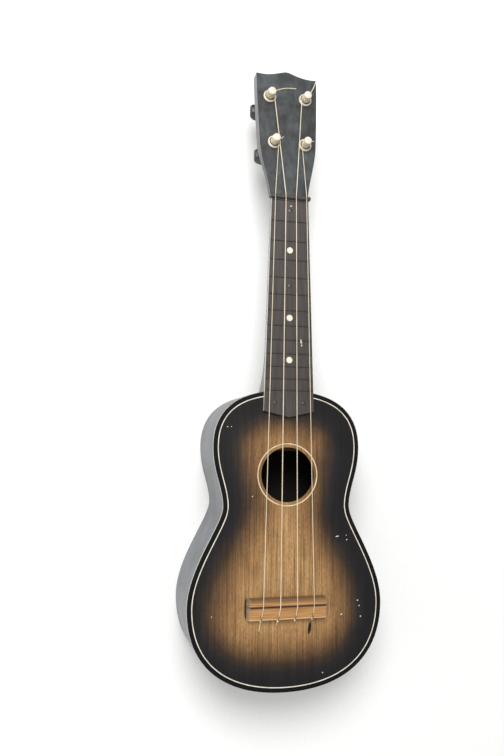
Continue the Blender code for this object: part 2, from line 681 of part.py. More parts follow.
def make_fingerboard():
    end_y = JOINT_Y - BOARD_PAST_JOINT
    nut_y = ZERO_Y + GUIDE["from_zero_fret"] + GUIDE["length"] / 2
    wide, narrow = board_half_width(end_y), board_half_width(nut_y)
    loop = [(narrow, nut_y), (-narrow, nut_y), (-wide, end_y), (0, end_y - BOARD_POINT), (wide, end_y)]
    board = flat_plate("fingerboard", [loop], BOARD_UNDER, BOARD_TOP)
    sink = 0.3 * MM
    for number in range(FRET_COUNT + 1):
        y = fret_y(number)
        half = FRET_WIDTH / 2
        low, high = BOARD_TOP - sink, FRET_TOP
        profile = [(y - half, low), (y + half, low), (y + half, BOARD_TOP), (y + half * 0.45, high),
                   (y - half * 0.45, high), (y - half, BOARD_TOP)]
        boolean(board, standing_plate(f"fret_{number}", profile, board_half_width(y) - 0.4 * MM), "UNION")
    guide_y = ZERO_Y + GUIDE["from_zero_fret"]
    half = GUIDE["length"] / 2
    high = BOARD_TOP + GUIDE["height"]
    shoulder = high - 0.8 * MM
    profile = [(guide_y - half, BOARD_UNDER), (guide_y + half, BOARD_UNDER), (guide_y + half, shoulder),
               (guide_y + half * 0.5, high), (guide_y - half * 0.5, high), (guide_y - half, shoulder)]
    boolean(board, standing_plate("string_guide", profile, GUIDE["width"] / 2), "UNION")
    for name in STRING_NAMES:
        x = guide_x(name)
        gap = STRING_DIAMETERS[name] / 2 + STRING_GAP
        low = (x - gap, guide_y - GUIDE["length"], FRET_TOP - 0.35 * MM)
        boolean(board, box(f"guide_notch_{name}", low, (x + gap, guide_y + GUIDE["length"], high + MM)))
    for number in DOT_FRETS:
        y = (fret_y(number - 1) + fret_y(number)) / 2
        low = BOARD_TOP - DOT["depth"] - INLAY_GAP
        recess = rod(f"dot_recess_{number}", DOT["radius"] + INLAY_GAP, (0, y, low), (0, y, BOARD_TOP + MM))
        boolean(board, recess)
        dot = rod(f"fret_dot_{number}", DOT["radius"], (0, y, BOARD_TOP - DOT["depth"]), (0, y, BOARD_TOP))
        place(dot, f"fret_dot_{number}", cream_plastic())
    cut_nail_holes(board, BOARD_UNDER - MM, BOARD_TOP + MM, NAIL_HOLE_RADIUS)
    for i, (x, y) in enumerate(nail_places()):
        low = BOARD_TOP - NAIL["head"] - NAIL_HOLE_GAP
        radius = NAIL["head_radius"] + NAIL_HOLE_GAP
        boolean(board, rod(f"nail_recess_{i}", radius, (x, y, low), (x, y, BOARD_TOP + MM), 16))
    place(board, "fingerboard", brown_plastic())
    profile = [
        (0, 0),
        (NAIL["head_radius"], -0.25 * MM),
        (NAIL["head_radius"], -NAIL["head"]),
        (NAIL["shank_radius"], -NAIL["head"]),
        (NAIL["shank_radius"], 1.5 * MM - NAIL["length"]),
        (0, -NAIL["length"]),
    ]
    for i, (x, y) in enumerate(nail_places()):
        nail = place(turned(f"fingerboard_nail_{i + 1}", profile, 12), f"fingerboard_nail_{i + 1}", steel())
        nail.location = (x, y, BOARD_TOP)


def make_bridge():
    base = BODY_DEPTH + GLUE_GAP
    front = SADDLE_Y + RIDGE_LENGTH
    step = SADDLE_Y - STEP_LENGTH
    rear = step - DECK_LENGTH
    crest, deck, heel = BODY_DEPTH + RIDGE_HEIGHT, BODY_DEPTH + DECK_HEIGHT, BODY_DEPTH + DECK_REAR_HEIGHT
    edge = 0.6 * MM
    profile = [
        (rear, base),
        (front, base),
        (front - 0.4 * MM, crest - 1.6 * MM),
        (front - 1.4 * MM, crest - 0.5 * MM),
        (SADDLE_Y + 0.8 * MM, crest),
        (SADDLE_Y - 0.2 * MM, crest - 0.2 * MM),
        (step, deck),
        (rear + edge, heel),
        (rear, heel - edge),
    ]
    bridge = standing_plate("bridge", profile, BRIDGE_BASE_WIDTH / 2)
    bridge.data.transform(Matrix.Translation((BRIDGE_OFF_CENTRE, 0, 0)))
    slant = (BRIDGE_BASE_WIDTH - BRIDGE_TOP_WIDTH) / 2
    for side in (-1, 1):
        half = BRIDGE_BASE_WIDTH / 2
        far = half + 10 * MM
        low, high = base - MM, crest + MM
        wedge = [(side * x, z) for x, z in ((half, low), (far, low), (far, high), (half - slant, high))]
        cutter = flat_plate(f"bridge_end_{side}", [wedge], -20 * MM, 20 * MM)
        upright = Matrix.Rotation(math.radians(90), 4, "X")
        stand = Matrix.Translation((BRIDGE_OFF_CENTRE, SADDLE_Y, 0)) @ upright
        cutter.data.transform(stand @ cutter.matrix_world)
        cutter.matrix_world = Matrix.Identity(4)
        boolean(bridge, cutter)
    for name in STRING_NAMES:
        x = saddle_x(name) + SLOTS_OFF_STRING[name]
        gap = STRING_DIAMETERS[name] / 2 + STRING_GAP
        low = (x - gap, rear - MM, BODY_DEPTH + SLOT_FLOOR)
        boolean(bridge, box(f"bridge_slot_{name}", low, (x + gap, rear + SLOT_REACH, crest + MM)))
    place(bridge, "bridge", bridge_wood())


def string_x(name, apart):
    return (STRING_NAMES.index(name) - (len(STRING_NAMES) - 1) / 2) * apart


def guide_x(name):
    return string_x(name, STRING_APART_GUIDE) + STRINGS_OFF_CENTRE["guide"]


def saddle_x(name):
    return string_x(name, STRING_APART_BRIDGE) + STRINGS_OFF_CENTRE["bridge"]


def turn_radius(string):
    return POST_RADIUS + STRING_GAP + STRING_DIAMETERS[string] / 2


def on_head(peg, x, y, height):
    """A point given from a peg's place on the head's face."""
    return HEAD_FRAME @ Vector((peg["across"] + x, peg["along"] + y, height))


def make_string(peg):
    name = peg["string"]
    radius = STRING_DIAMETERS[name] / 2
    rear = SADDLE_Y - STEP_LENGTH - DECK_LENGTH
    over_x = saddle_x(name)
    x = over_x + SLOTS_OFF_STRING[name]
    bed = BODY_DEPTH + SLOT_FLOOR + STRING_GAP + radius
    rest = BODY_DEPTH + STRING_GAP + radius
    tail = TAIL_LENGTHS[name]
    knot_y = rear - STRING_GAP - radius * (KNOT_SWELL + 1)
    points = [
        Vector((x - 0.08 * tail, knot_y - tail, rest + 0.3 * MM)),
        Vector((x + 0.03 * tail, knot_y - 0.5 * tail - radius, rest)),
        Vector((x, knot_y - radius * 2, bed - 1.1 * MM)),
        Vector((x, knot_y - radius * 0.7, bed - 0.5 * MM)),
        Vector((x, knot_y + radius * 0.7, bed - 0.3 * MM)),
        Vector((x, rear - radius, bed)),
        Vector((x, rear + 0.7 * MM, bed + 0.1 * MM)),
        Vector((x, rear + SLOT_REACH - 0.5 * MM, BODY_DEPTH + DECK_REAR_HEIGHT + 0.5 * MM + radius)),
        Vector((over_x, SADDLE_Y - 1.4 * MM, BODY_DEPTH + RIDGE_HEIGHT + radius + STRING_GAP - 0.2 * MM)),
        Vector((over_x, SADDLE_Y + 0.9 * MM, BODY_DEPTH + RIDGE_HEIGHT + radius + STRING_GAP)),
    ]
    across = guide_x(name)
    over = FRET_TOP + radius + STRING_GAP
    points.append(Vector((across, ZERO_Y, over)))
    guide_end = Vector((across, ZERO_Y + GUIDE["from_zero_fret"] + GUIDE["length"] / 2, over))
    points.append(guide_end)
    start = HEAD_FRAME.inverted() @ guide_end - Vector((peg["across"], peg["along"], 0))
    turn = turn_radius(name)
    way = -1 if peg["across"] > 0 else 1
    first = math.atan2(start.y, start.x) + way * math.acos(turn / math.hypot(start.x, start.y))
    steps = int(TURN_STEPS * 0.7)
    for i in range(steps + 1):
        angle = first + way * 2 * math.pi * i / TURN_STEPS
        points.append(on_head(peg, turn * math.cos(angle), turn * math.sin(angle), FIRST_TURN_HEIGHT))
    swell = {2: 1.3, 3: KNOT_SWELL, 4: KNOT_SWELL}
    place(tube(f"string_{name}", points, 2 * radius, swell), f"string_{name}", nylon())


def wound_end(peg, tail):
    """Points of the turning end of a string, in the peg's own frame: turns up the post, through
    its hole and out as the loose tail."""
    name = peg["string"]
    diameter = STRING_DIAMETERS[name]
    radius = turn_radius(name)
    way = -1 if peg["across"] > 0 else 1
    pitch = diameter + TURN_CLEARANCE
    steps = int(TURN_STEPS * WOUND_TURNS)
    half = TURN_STEPS / 2
    aim = math.atan2(tail[0][1], tail[0][0])
    last = aim + math.pi
    points = []
    for i in range(steps + 1):
        back = steps - i
        angle = last - way * (2 * math.pi * back / TURN_STEPS + 0.28)
        drop = pitch * (back / half if back < half else 1 + (back - half) / TURN_STEPS)
        points.append(Vector((radius * math.cos(angle), radius * math.sin(angle), HOLE_HEIGHT - drop)))
    run = (points[0] - points[1]).normalized()
    points.insert(0, points[0] + run * diameter)
    across = Vector((math.cos(aim), math.sin(aim), 0))
    points.append(Vector((0, 0, HOLE_HEIGHT)) - across * radius * 0.86)
    points.append(Vector((0, 0, HOLE_HEIGHT)))
    points.append(Vector((0, 0, HOLE_HEIGHT)) + across * (POST_RADIUS + diameter))
    points += [Vector((x, y, HOLE_HEIGHT + rise)) for x, y, rise in tail]
    return points


def least_gap(points, diameter):
    """The least clear distance between stretches of a tube that lie more than half a turn apart."""
    fine = []
    for a, b in zip(points, points[1:]):
        fine += [a.lerp(b, s / 3) for s in range(3)]
    runs = [0.0]
    for a, b in zip(fine, fine[1:]):
        runs.append(runs[-1] + (b - a).length)
    apart = math.pi * POST_RADIUS
    pairs = ((i, j) for i in range(len(fine)) for j in range(i) if runs[i] - runs[j] > apart)
    return min((fine[i] - fine[j]).length for i, j in pairs) - diameter


PEG_TAILS = dict(
    # Loose string ends from the post outwards: across, along, rise
    upper_left=[
        (5.6 * MM, 2.5 * MM, 0.1 * MM),
        (9.5 * MM, 4.2 * MM, 0.2 * MM),
        (13.5 * MM, 5.2 * MM, 0.2 * MM),
        (17.5 * MM, 5.8 * MM, 0.1 * MM),
        (22.4 * MM, 6.1 * MM, 0.0),
    ],
    upper_right=[
        (3.6 * MM, 4.2 * MM, 0.4 * MM),
        (5.2 * MM, 7.6 * MM, 1.3 * MM),
        (6.6 * MM, 11 * MM, 2.3 * MM),
        (7.4 * MM, 13.6 * MM, 2.9 * MM),
    ],
    lower_left=[(5.2 * MM, 0.6 * MM, 0.2 * MM), (6.3 * MM, 1.9 * MM, 0.8 * MM)],
    lower_right=[(5.0 * MM, 0.6 * MM, 0.0), (6.2 * MM, 1.2 * MM, 0.2 * MM)],
)


def make_peg(key, peg):
    """One tuning peg. Its empty stands on the head's face with Z along the turning axis."""
    frame = HEAD_FRAME @ Matrix.Translation((peg["across"], peg["along"], 0))
    axis = bpy.data.objects.new(f"peg_{key}_axis", None)
    PARTS.objects.link(axis)
    axis.matrix_world = frame
    name = f"peg_{key}"

    knob_low = HOLE_HEIGHT + 1.1 * MM
    tip = knob_low + KNOB_HEIGHT
    shoulder = COLLAR["height"] - COLLAR["dish"] + 0.3 * MM
    button_top = -HEAD_THICKNESS - GLUE_GAP - WASHER["thickness"] - GLUE_GAP
    tang_end = button_top - TANG_LENGTH
    bore = SCREW["shank_radius"] + TURN_GAP
    profile = [
        (0, tip),
        (KNOB_RADIUS * 0.62, tip - 0.35 * MM),
        (KNOB_RADIUS * 0.95, tip - 1.0 * MM),
        (KNOB_RADIUS, knob_low + 0.5 * MM),
        (POST_RADIUS, knob_low),
        (POST_RADIUS, shoulder),
        (SHAFT_RADIUS, shoulder - 0.3 * MM),
        (SHAFT_RADIUS, button_top + GLUE_GAP),
        (TANG_RADIUS, button_top),
        (TANG_RADIUS, tang_end),
        (bore, tang_end),
        (bore, tang_end + SCREW_BITE + MM),
        (0, tang_end + SCREW_BITE + MM),
    ]
    shaft = turned(f"{name}_shaft", profile, 20)
    tail = PEG_TAILS[key]
    aim = Vector((tail[0][0], tail[0][1], 0)).normalized() * 5 * MM
    hole_radius = STRING_DIAMETERS[peg["string"]] / 2 + STRING_GAP
    lift = Vector((0, 0, HOLE_HEIGHT))
    hole = rod(f"{name}_string_hole", hole_radius, lift - aim, lift + aim, 10)
    hole.parent = axis
    boolean(shaft, hole)
    place(shaft, f"{name}_shaft", cream_plastic(), axis)

    inner = SHAFT_RADIUS + TURN_GAP
    sleeve = COLLAR["sleeve_radius"]
    wide, high = COLLAR["radius"], COLLAR["height"]
    floor = high - COLLAR["dish"]
    profile = [
        (inner, floor),
        (sleeve, floor),
        (wide - 1.1 * MM, high),
        (wide - 0.6 * MM, high),
        (wide, high - 0.8 * MM),
        (wide, GLUE_GAP),
        (sleeve, GLUE_GAP),
        (sleeve, -COLLAR["sleeve"]),
        (inner, -COLLAR["sleeve"]),
        (inner, floor),
    ]
    place(turned(f"{name}_collar", profile, 22), f"{name}_collar", cream_plastic(), axis)
    washer_top = -HEAD_THICKNESS - GLUE_GAP
    washer_low = washer_top - WASHER["thickness"]
    washer = ring(f"{name}_washer", WASHER["radius"], inner, washer_low, washer_top, 20)
    place(washer, f"{name}_washer", steel(), axis)

    button = make_button(name, button_top, tang_end)
    for obj in (button, *[step.object for step in button.modifiers if step.type == "BOOLEAN"]):
        obj.parent = axis
    place(button, f"{name}_button", black_plastic())

    seat = tang_end - GLUE_GAP - MM
    shank_top = tang_end + SCREW_BITE
    head_low = seat - SCREW["head"]
    profile = [
        (0, shank_top),
        (SCREW["shank_radius"] * 0.5, shank_top - 0.4 * MM),
        (SCREW["shank_radius"], shank_top - 1.2 * MM),
        (SCREW["shank_radius"], seat - GLUE_GAP),
        (SCREW["head_radius"], seat - GLUE_GAP),
        (SCREW["head_radius"], head_low - GLUE_GAP),
        (0, head_low - 0.5 * MM),
    ]
    screw = turned(f"{name}_screw", profile, 14)
    reach, half = SCREW["head_radius"] + MM, SCREW["slot"] / 2
    slot = box(f"{name}_screw_slot", (-reach, -half, head_low - 2 * MM), (reach, half, head_low + 0.5 * MM))
    slot.parent = axis
    boolean(screw, slot)
    place(screw, f"{name}_screw", steel(), axis)

    points = wound_end(peg, tail)
    wound = tube(f"{name}_winding", points, STRING_DIAMETERS[peg["string"]])
    place(wound, f"{name}_winding", nylon(), axis)
    gap = least_gap(points, STRING_DIAMETERS[peg["string"]])
    print(f"{name}_winding: least gap to itself {gap / MM:.2f} mm")


def make_button(name, top, tang_end):
    """The flat grip under the head: a boss that widens into a rounded paddle."""
    half, length = BUTTON["half_width"], BUTTON["length"]
    neck = BUTTON["boss_radius"] - 0.7 * MM
    low = top - length
    boss_low = top - BUTTON["boss"]
    widest = Vector((half, top - length * 0.52))
    shoulder = [
        Vector((neck, boss_low)),
        Vector((neck + MM, boss_low - 2 * MM)),
        Vector((half, top - length * 0.33)),
        widest,
    ]
    tip = [widest, Vector((half, top - length * 0.85)), Vector((half * 0.6, low)), Vector((0, low))]
    right = [Vector((neck, top - BUTTON["boss"] * 0.5))]
    right += interpolate_bezier(*shoulder, 5)
    right += interpolate_bezier(*tip, 6)[1:]
    loop = right + mirrored(right)[-2::-1]
    grip = flat_plate(f"{name}_button", [loop], -BUTTON["thickness"] / 2, BUTTON["thickness"] / 2)
    grip.data.transform(Matrix.Rotation(math.radians(90), 4, "X") @ grip.matrix_world)
    grip.matrix_world = Matrix.Identity(4)
    rounding = grip.modifiers.new("rounding", "BEVEL")
    rounding.width = 1.4 * MM
    rounding.segments = 2
    rounding.limit_method = "ANGLE"
    rounding.angle_limit = math.radians(50)
    boss = rod(f"{name}_boss", BUTTON["boss_radius"], (0, 0, top), (0, 0, boss_low - 2 * MM), 20)
    boolean(grip, boss, "UNION")
    socket = TANG_RADIUS + TURN_GAP
    boolean(grip, rod(f"{name}_socket", socket, (0, 0, top + MM), (0, 0, tang_end - GLUE_GAP), 18))
    hole = SCREW["shank_radius"] + GLUE_GAP
    boolean(grip, rod(f"{name}_screw_hole", hole, (0, 0, top), (0, 0, low - MM), 16))
    well = SCREW["head_radius"] + GLUE_GAP
    boolean(grip, rod(f"{name}_screw_well", well, (0, 0, tang_end - GLUE_GAP - MM), (0, 0, low - MM), 20))
    return grip


def main():
    clear_scene()
    make_soundboard()
    make_sides()
    make_blocks()
    make_braces()
    make_neck()
    make_fingerboard()
    make_bridge()
    for key, peg in PEGS.items():
        make_string(peg)
        make_peg(key, peg)
    print(f"overall {OVERALL / MM:.1f} mm, tail at y {TAIL_Y / MM:.1f} mm")
    print(f"neck joint at y {JOINT_Y / MM:.1f} mm, zero fret at y {ZERO_Y / MM:.1f} mm")


main()
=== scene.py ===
import json
import math

import bmesh
import bpy
from mathutils import Matrix, Vector


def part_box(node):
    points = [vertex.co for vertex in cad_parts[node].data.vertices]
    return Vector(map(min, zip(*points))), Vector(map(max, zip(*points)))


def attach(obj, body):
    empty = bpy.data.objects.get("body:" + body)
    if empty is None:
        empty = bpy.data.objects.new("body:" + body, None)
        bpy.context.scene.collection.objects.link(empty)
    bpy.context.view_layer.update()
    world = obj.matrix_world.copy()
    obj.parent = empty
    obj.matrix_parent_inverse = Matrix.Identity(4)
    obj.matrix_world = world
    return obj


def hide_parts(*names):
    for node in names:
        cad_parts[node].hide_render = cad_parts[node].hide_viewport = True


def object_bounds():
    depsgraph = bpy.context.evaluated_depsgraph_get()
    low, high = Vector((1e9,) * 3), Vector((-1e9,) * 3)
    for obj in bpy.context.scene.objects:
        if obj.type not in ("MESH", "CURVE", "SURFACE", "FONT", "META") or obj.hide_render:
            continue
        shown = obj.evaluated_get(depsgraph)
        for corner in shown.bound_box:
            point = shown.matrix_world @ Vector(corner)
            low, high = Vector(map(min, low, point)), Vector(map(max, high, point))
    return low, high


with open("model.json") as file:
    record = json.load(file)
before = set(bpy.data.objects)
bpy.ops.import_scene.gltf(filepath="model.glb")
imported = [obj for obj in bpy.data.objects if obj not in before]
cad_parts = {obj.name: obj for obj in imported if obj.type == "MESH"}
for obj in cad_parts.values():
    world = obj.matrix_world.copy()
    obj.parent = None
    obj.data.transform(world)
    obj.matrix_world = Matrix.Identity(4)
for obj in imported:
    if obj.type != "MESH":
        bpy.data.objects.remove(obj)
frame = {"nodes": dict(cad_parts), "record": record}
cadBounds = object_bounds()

mm = 0.001
nodes = frame["nodes"]
bodyOfNode = {n: body for body, names in frame["record"]["behaviour"]["bodies"].items() for n in names}
slotOfNode = {s["node"]: s["material_slot"] for s in frame["record"]["subparts"]}


# Shared helpers

def hexColor(code):
    # sRGB hex to the linear colour that the shader wants
    channels = [int(code[i:i + 2], 16) / 255 for i in (1, 3, 5)]
    return tuple(c / 12.92 if c <= 0.04045 else ((c + 0.055) / 1.055) ** 2.4 for c in channels) + (1,)


def addNode(tree, kind, settings):
    # ".name" sets a property, "stops" fills a colour ramp, anything else is an input socket
    node = tree.nodes.new(kind)
    for key, value in settings.items():
        if key == "stops":
            ramp = node.color_ramp
            while len(ramp.elements) < len(value):
                ramp.elements.new(0.5)
            for element, (position, color) in zip(ramp.elements, value):
                element.position = position
                element.color = hexColor(color) if isinstance(color, str) else (color, color, color, 1)
        elif isinstance(key, str) and key.startswith("."):
            setattr(node, key[1:], value)
        elif isinstance(value, bpy.types.NodeSocket):
            tree.links.new(value, node.inputs[key])
        else:
            node.inputs[key].default_value = value
    return node


def startMaterial(name, roughness, ior):
    material = bpy.data.materials.new(name)
    material.use_nodes = True
    tree = material.node_tree
    shader = tree.nodes["Principled BSDF"]
    shader.inputs["Roughness"].default_value = roughness
    shader.inputs["IOR"].default_value = ior
    place = addNode(tree, "ShaderNodeTexCoord", {}).outputs["Object"]
    return material, tree, shader, place


def stretched(tree, place, sizes):
    # object space divided by a pattern's real size in mm along X, Y and Z
    scale = [1000 / s for s in sizes]
    return addNode(tree, "ShaderNodeMapping", {"Vector": place, "Scale": scale}).outputs[0]


# Finishes

topLook = {
    # spruce plywood, stained and sprayed dark from the edge inwards, thin satin lacquer
    "burst": [
        (0.0, "#0e0e12"), (0.15, "#15151a"), (0.27, "#242021"), (0.39, "#463628"),
        (0.54, "#80613f"), (0.74, "#b48c5c"), (1.0, "#cda570"),
    ],
    "burstReachMm": 52,
    "burstWanderMm": 6,
    "cloudMm": (30, 45, 30),
    "upperReachMm": 5,  # the dark rim grows by this towards the neck
    "upperFromTo": (-150, -70),  # between these places along the body, in mm
    "smoke": [(0.34, "#a79f98"), (0.6, "#ffffff")],  # uneven spray over the stain
    "smokeMm": (13, 26, 13),
    "lean": 0.06,  # the spray sits a little to the left, so the right edge is darker
    "grainMm": (0.75, 60, 4),
    "fleckMm": (0.45, 3.2, 2),
    "poreMm": (0.4, 7, 2),
    "pore": "#2a1a0e",
    "bareWood": "#cfc8ba",
    "darkChip": "#17100b",
    "darkPatch": "#35241a",
    "roughness": 0.42,
    "bandMm": 3.2,  # black binding strip outside the cream line
    "lightMarks": [  # chips through the lacquer: place in mm, half length, half width, turn in degrees
        (44.1, -143.7, 1.5, 0.45, 8), (52.6, -146.7, 0.6, 0.5, 0), (52.2, -143.0, 0.4, 0.35, 0),
        (62.2, -197.1, 0.6, 0.6, 0), (63.6, -201.6, 0.5, 0.5, 0), (47.7, -207.9, 0.8, 0.6, 20),
        (64.8, -210.3, 0.5, 0.6, 0), (-52, -52.9, 0.5, 0.4, 0), (-48.8, -52.8, 0.35, 0.35, 0),
        (-30.3, -109.9, 0.45, 0.45, 0), (31, -254, 0.5, 0.45, 0), (-63, -205, 0.35, 0.35, 0),
    ],
    "darkMarks": [(19.6, -217.6, 1.35, 4.9, -9)],
    "darkPatchMm": (1.5, 8.5),  # half size of the dark patch painted beside the bridge's left end
}

# the lighter haze colours of the head and the sides are partly painted sheen
blackLook = {
    "color": "#0c0d0f", "hazeAndSheen": "#42494b", "hazeAndSheenMm": 22, "scratchMm": (5, 11, 5),
    "roughness": 0.34, "coat": 0.4,
}
sideLook = {
    "color": "#0b0d11", "hazeAndSheen": "#46515d", "hazeAndSheenMm": 20, "scratchMm": (2, 2, 26),
    "roughness": 0.36, "coat": 0.35,
    "paintedEdgeHighlight": "#dedbc8", "paintedEdgeHighlightMm": 1.1,  # painted highlight along the rounded top edge of the sides
}
bandLook = {
    "color": "#070708", "hazeAndSheen": "#0c0c0e", "hazeAndSheenMm": 20, "scratchMm": (3, 3, 3), "roughness": 0.5, "coat": 0.0,
}
boardLook = {
    "color": "#2c2725", "wornAndHighlight": "#443d39", "streakMm": (1.0, 26, 3), "roughness": 0.42,
    "chip": "#cfc6b8",
    "lightMarks": [(0.8, 138.6, 0.9, 0.5, 10), (10.3, 20.5, 0.7, 1.9, 12), (10.9, 17.2, 0.5, 0.9, 0)],
}
# the fingerboard's sides are painted light grey: a painted highlight along the board's edge
boardEdgeHighlightLook = {"color": "#99938a", "wornAndHighlight": "#d8d3c8", "streakMm": (3, 14, 3), "roughness": 0.35}
bridgeLook = {
    "color": "#c2935a", "dark": "#8a5c30", "grainMm": (30, 0.9, 0.9), "roughness": 0.45,
    "deckMm": 10.6,  # from the rear edge to the foot of the ridge
    # the front, step line and rear line colours are painted shade, painted shadow and painted highlight; the
    # end colour is wear and painted highlight
    "front": "#5b4326", "paintedStepShadow": "#42161a", "endWearAndHighlight": "#857b70", "paintedRearHighlight": "#e8cb95",
}
bareLook = {"color": "#a98358", "dark": "#84613c", "grainMm": (1.2, 40, 1.2), "roughness": 0.8}
# the inside is bare wood painted near black: painted shade inside the body
insideShadeLook = {"color": "#1b100a", "dark": "#0f0906", "grainMm": (1.2, 40, 1.2), "roughness": 0.9}
creamLook = {"color": "#e4dccb", "agedAndShaded": "#c3b493", "patchMm": 4, "roughness": 0.34}
# the collar's dish round the post is painted dark brown: painted shade in the hollow
dishShadeLook = {"color": "#796a50", "agedAndShaded": "#463b2b", "patchMm": 2, "roughness": 0.6, "insideMm": 4.4}
lineLook = {"color": "#e2dacb", "agedAndShaded": "#b8ab92", "patchMm": 7, "roughness": 0.5}
ringLook = {"color": "#dcc7a2", "agedAndShaded": "#b5986c", "patchMm": 7, "roughness": 0.5}
buttonLook = {"color": "#0c0c0e", "agedAndShaded": "#1a1a1d", "patchMm": 4, "roughness": 0.3}
stringLook = {"color": "#dccfb6", "agedAndShaded": "#bfad8b", "patchMm": 14, "roughness": 0.3}
steelLook = {"color": "#6b645a", "rust": "#4a2f20", "patchMm": 1.4, "roughness": 0.45}


def addMarks(tree, place, base, marks, color):
    # small chips and a dark patch: each one is an ellipse with a ragged edge
    ragged = addNode(tree, "ShaderNodeTexNoise", {
        "Vector": stretched(tree, place, (0.5, 0.5, 0.5)), "Scale": 1, "Detail": 2})
    limit = addNode(tree, "ShaderNodeMapRange", {"Value": ragged.outputs[0], "To Min": 0.55, "To Max": 1.45})
    mask = None
    for x, y, halfX, halfY, turn in marks:
        local = addNode(tree, "ShaderNodeMapping", {
            ".vector_type": "TEXTURE", "Vector": place, "Location": (x * mm, y * mm, 0),
            "Rotation": (0, 0, math.radians(turn)), "Scale": (halfX * mm, halfY * mm, 1)})
        reach = addNode(tree, "ShaderNodeVectorMath", {".operation": "LENGTH", 0: local.outputs[0]})
        inside = addNode(tree, "ShaderNodeMath", {
            ".operation": "LESS_THAN", 0: reach.outputs["Value"], 1: limit.outputs[0]}).outputs[0]
        mask = inside if mask is None else addNode(tree, "ShaderNodeMath", {
            ".operation": "MAXIMUM", 0: mask, 1: inside}).outputs[0]
    return addNode(tree, "ShaderNodeMix", {
        ".data_type": "RGBA", 0: mask, 6: base, 7: hexColor(color)}).outputs[2]


def sunburstLacquer(look):
    material, tree, shader, place = startMaterial("sunburstLacquerOnSpruce", look["roughness"], 1.5)
    edge = addNode(tree, "ShaderNodeAttribute", {".attribute_name": "fromEdge"}).outputs["Fac"]
    cloud = addNode(tree, "ShaderNodeTexNoise", {
        "Vector": stretched(tree, place, look["cloudMm"]), "Scale": 1, "Detail": 2})
    stray = look["burstWanderMm"]
    wander = addNode(tree, "ShaderNodeMath", {
        ".operation": "MULTIPLY_ADD", 0: cloud.outputs[0], 1: stray * 2, 2: -stray})
    rise = addNode(tree, "ShaderNodeSeparateXYZ", {0: place}).outputs["Y"]
    waist, shoulder = (y * mm for y in look["upperFromTo"])
    upper = addNode(tree, "ShaderNodeMapRange", {
        "Value": rise, "From Min": waist, "From Max": shoulder,
        "To Min": 0, "To Max": -look["upperReachMm"]})
    shifted = addNode(tree, "ShaderNodeMath", {".operation": "ADD", 0: edge, 1: upper.outputs[0]})
    reach = addNode(tree, "ShaderNodeMath", {
        ".operation": "ADD", 0: shifted.outputs[0], 1: wander.outputs[0]})
    share = addNode(tree, "ShaderNodeMath", {
        ".operation": "DIVIDE", 0: reach.outputs[0], 1: look["burstReachMm"]})
    burst = addNode(tree, "ShaderNodeValToRGB", {"Fac": share.outputs[0], "stops": look["burst"]})
    cover = addNode(tree, "ShaderNodeTexNoise", {
        "Vector": stretched(tree, place, look["smokeMm"]), "Scale": 1, "Detail": 5, "Roughness": 0.6})
    smoke = addNode(tree, "ShaderNodeValToRGB", {"Fac": cover.outputs[0], "stops": look["smoke"]})
    burst = addNode(tree, "ShaderNodeMix", {
        ".data_type": "RGBA", ".blend_type": "MULTIPLY", 0: 0.45, 6: burst.outputs[0], 7: smoke.outputs[0]})
    grain = addNode(tree, "ShaderNodeTexNoise", {
        "Vector": stretched(tree, place, look["grainMm"]), "Scale": 1, "Detail": 4, "Roughness": 0.7})
    grainTone = addNode(tree, "ShaderNodeValToRGB", {
        "Fac": grain.outputs[0], "stops": [(0.33, "#a0948a"), (0.5, "#e2dcd6"), (0.66, "#ffffff")]})
    streaked = addNode(tree, "ShaderNodeMix", {
        ".data_type": "RGBA", ".blend_type": "MULTIPLY",
        0: 1.0, 6: burst.outputs[2], 7: grainTone.outputs[0]})
    fleck = addNode(tree, "ShaderNodeTexNoise", {
        "Vector": stretched(tree, place, look["fleckMm"]), "Scale": 1, "Detail": 3, "Roughness": 0.6})
    fleckTone = addNode(tree, "ShaderNodeValToRGB", {
        "Fac": fleck.outputs[0], "stops": [(0.3, "#b9b0a8"), (0.62, "#ffffff")]})
    stained = addNode(tree, "ShaderNodeMix", {
        ".data_type": "RGBA", ".blend_type": "MULTIPLY",
        0: 0.8, 6: streaked.outputs[2], 7: fleckTone.outputs[0]})
    pores = addNode(tree, "ShaderNodeTexNoise", {
        "Vector": stretched(tree, place, look["poreMm"]), "Scale": 1, "Detail": 2})
    poreMask = addNode(tree, "ShaderNodeValToRGB", {
        "Fac": pores.outputs[0], "stops": [(0.26, 1.0), (0.36, 0.0)]})
    poreShare = addNode(tree, "ShaderNodeMath", {".operation": "MULTIPLY", 0: poreMask.outputs[0], 1: 0.7})
    pored = addNode(tree, "ShaderNodeMix", {
        ".data_type": "RGBA", 0: poreShare.outputs[0], 6: stained.outputs[2], 7: hexColor(look["pore"])})
    chipped = addMarks(tree, place, pored.outputs[2], look["lightMarks"], look["bareWood"])
    chipped = addMarks(tree, place, chipped, look["darkMarks"], look["darkChip"])
    # a dark patch painted on the top beside the bridge's left end
    low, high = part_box("bridge")
    darkPatch = (low.x / mm, (low.y + high.y) / 2 / mm, *look["darkPatchMm"], 0)
    chipped = addMarks(tree, place, chipped, [darkPatch], look["darkPatch"])
    tree.links.new(chipped, shader.inputs["Base Color"])
    shader.inputs["Specular IOR Level"].default_value = 0.3
    height = addNode(tree, "ShaderNodeBump", {
        "Height": grain.outputs[0], "Strength": 0.35, "Distance": 0.12 * mm})
    tree.links.new(height.outputs[0], shader.inputs["Normal"])
    gloss = addNode(tree, "ShaderNodeMapRange", {"Value": grain.outputs[0], "To Min": 0.34, "To Max": 0.5})
    tree.links.new(gloss.outputs[0], shader.inputs["Roughness"])
    return material


